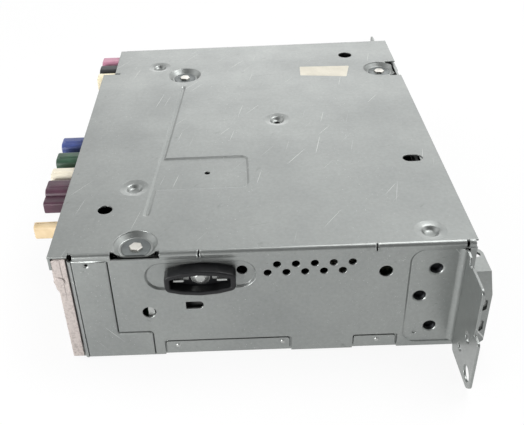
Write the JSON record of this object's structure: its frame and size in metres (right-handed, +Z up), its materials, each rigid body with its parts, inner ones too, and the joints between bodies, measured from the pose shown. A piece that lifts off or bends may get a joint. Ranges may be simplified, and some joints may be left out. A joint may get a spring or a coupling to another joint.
{
  "type": "car disc radio",
  "caption": "Slot-loading car disc radio in a folded steel case with side mounting ears, keyed antenna sockets and an inner disc drive.",
  "frame": {"origin": "centre of the bottom tray's underside", "axes": "+X to the right across the case, +Y from the disc slot to the sockets at the rear, +Z up"},
  "size_m": [0.2286, 0.1712, 0.05],
  "materials": {
    "zinc_steel": "zinc-plated sheet steel, satin, lightly scuffed",
    "bright_steel": "bright ground steel",
    "cast_alloy": "rough die-cast alloy, uncoated",
    "tin_plate": "tinned sheet, smooth",
    "green_board": "circuit board with green mask",
    "black_plastic": "moulded, fine grain",
    "black_rubber": "matte moulded rubber",
    "white_plastic": "natural acetal",
    "brass_metal": "turned",
    "blue_plastic": "moulded, half matte",
    "green_plastic": "moulded, half matte",
    "cream_plastic": "moulded, half matte",
    "bordeaux_plastic": "moulded, half matte",
    "beige_plastic": "moulded, half matte",
    "pink_plastic": "moulded, half matte"
  },
  "bodies": {
    "chassis": {"top_cover": "zinc_steel", "bottom_tray": "zinc_steel", "front_bracket": "zinc_steel", "rear_heatsink": "cast_alloy", "main_board": "green_board", "antenna_board": "green_board", "processor_shield": "tin_plate", "tuner_shield": "tin_plate", "power_amplifier": "black_plastic", "capacitor_rear": "black_plastic", "capacitor_middle": "black_plastic", "capacitor_front": "black_plastic", "main_connector": "black_plastic", "antenna_header_left": "cast_alloy", "antenna_header_right": "cast_alloy", "jack_blue": "blue_plastic", "jack_green": "green_plastic", "jack_cream": "cream_plastic", "jack_bordeaux": "bordeaux_plastic", "jack_beige": "beige_plastic", "jack_pink": "pink_plastic", "jack_black": "black_plastic", "jack_ivory": "cream_plastic", "side_buffer": "black_rubber", "buffer_clip": "bright_steel", "drive_frame": "zinc_steel", "upper_disc_guide": "black_plastic", "lower_disc_guide": "black_plastic", "damper_front_right": "black_rubber", "damper_rear_right": "black_rubber", "damper_front_left": "black_rubber", "damper_rear_left": "black_rubber", "loading_motor": "bright_steel"},
    "deck": {"deck_plate": "zinc_steel", "spindle_motor": "bright_steel", "guide_rod_rear": "bright_steel", "guide_rod_front": "bright_steel", "sled_motor": "bright_steel"},
    "turntable": {"turntable": "black_plastic"},
    "clamp_arm": {"clamp_arm": "zinc_steel"},
    "clamp_puck": {"clamp_puck": "black_plastic"},
    "sled": {"pickup_sled": "black_plastic"},
    "lens": {"lens_holder": "white_plastic"},
    "lead_screw": {"lead_screw": "bright_steel"},
    "roller_arm": {"roller_arm": "zinc_steel"},
    "roller": {"roller_shaft": "bright_steel", "roller_sleeve_left": "black_rubber", "roller_sleeve_right": "black_rubber", "roller_gear": "white_plastic"},
    "clutch_output": {"clutch_output_gear": "white_plastic"},
    "clutch_input": {"clutch_input_gear": "white_plastic"},
    "reduction": {"reduction_gear": "white_plastic"},
    "pinion": {"motor_pinion": "brass_metal"},
    "slider": {"shift_slider": "zinc_steel"}
  },
  "joints": [
    {"name": "deck_float", "type": "slide", "parent": "chassis", "child": "deck", "axis": [0, 0, 1], "range_m": [-0.0012, 0.0012], "stiffness_N_per_m": 2600, "springref_m": 0.00065, "deforming": ["damper_front_right", "damper_rear_right", "damper_front_left", "damper_rear_left"]},
    {"name": "turntable_spin", "type": "hinge", "parent": "deck", "child": "turntable", "pos_m": [0, -0.00795, 0.033], "axis": [0, 0, 1], "continuous": true},
    {"name": "clamp_lift", "type": "hinge", "parent": "deck", "child": "clamp_arm", "pos_m": [0, 0.051, 0.0441], "axis": [1, 0, 0], "range_deg": [0, 5.8]},
    {"name": "puck_spin", "type": "hinge", "parent": "clamp_arm", "child": "clamp_puck", "pos_m": [0, -0.00795, 0.042], "axis": [0, 0, 1], "continuous": true},
    {"name": "sled_slide", "type": "slide", "parent": "deck", "child": "sled", "axis": [0.7071, 0.7071, 0], "range_m": [0, 0.031]},
    {"name": "lens_focus", "type": "slide", "parent": "sled", "child": "lens", "axis": [0, 0, 1], "range_m": [-0.0004, 0.0004], "stiffness_N_per_m": 30},
    {"name": "lead_screw_turn", "type": "hinge", "parent": "deck", "child": "lead_screw", "pos_m": [-0.01485, 0.0069, 0.0212], "axis": [0.7071, 0.7071, 0], "range_deg": [0, 3725]},
    {"name": "roller_lift", "type": "hinge", "parent": "chassis", "child": "roller_arm", "pos_m": [0, -0.048, 0.031], "axis": [1, 0, 0], "range_deg": [-13, 0]},
    {"name": "feed_roller_spin", "type": "hinge", "parent": "roller_arm", "child": "roller", "pos_m": [0, -0.06146, 0.032], "axis": [1, 0, 0], "continuous": true},
    {"name": "clutch_output_spin", "type": "hinge", "parent": "roller_arm", "child": "clutch_output", "pos_m": [-0.065, -0.048, 0.031], "axis": [1, 0, 0], "continuous": true},
    {"name": "clutch_input_spin", "type": "hinge", "parent": "chassis", "child": "clutch_input", "pos_m": [-0.0694, -0.048, 0.031], "axis": [1, 0, 0], "continuous": true},
    {"name": "reduction_spin", "type": "hinge", "parent": "chassis", "child": "reduction", "pos_m": [-0.071, -0.03571, 0.02823], "axis": [1, 0, 0], "continuous": true},
    {"name": "pinion_spin", "type": "hinge", "parent": "chassis", "child": "pinion", "pos_m": [-0.072, -0.02471, 0.02523], "axis": [1, 0, 0], "continuous": true},
    {"name": "shift_slide", "type": "slide", "parent": "chassis", "child": "slider", "axis": [0, 1, 0], "range_m": [0, 0.008]}
  ],
  "couplings": [
    {"joint": "puck_spin", "follows": "turntable_spin", "ratio": 1},
    {"joint": "lead_screw_turn", "follows": "sled_slide", "rad_per_m": 2094.4},
    {"joint": "clamp_lift", "follows": "shift_slide", "rad_per_m": 12.44},
    {"joint": "clutch_output_spin", "follows": "feed_roller_spin", "ratio": -0.66667},
    {"joint": "clutch_input_spin", "follows": "feed_roller_spin", "ratio": -0.66667},
    {"joint": "reduction_spin", "follows": "feed_roller_spin", "ratio": 1.6667},
    {"joint": "pinion_spin", "follows": "feed_roller_spin", "ratio": -4.6667}
  ]
}
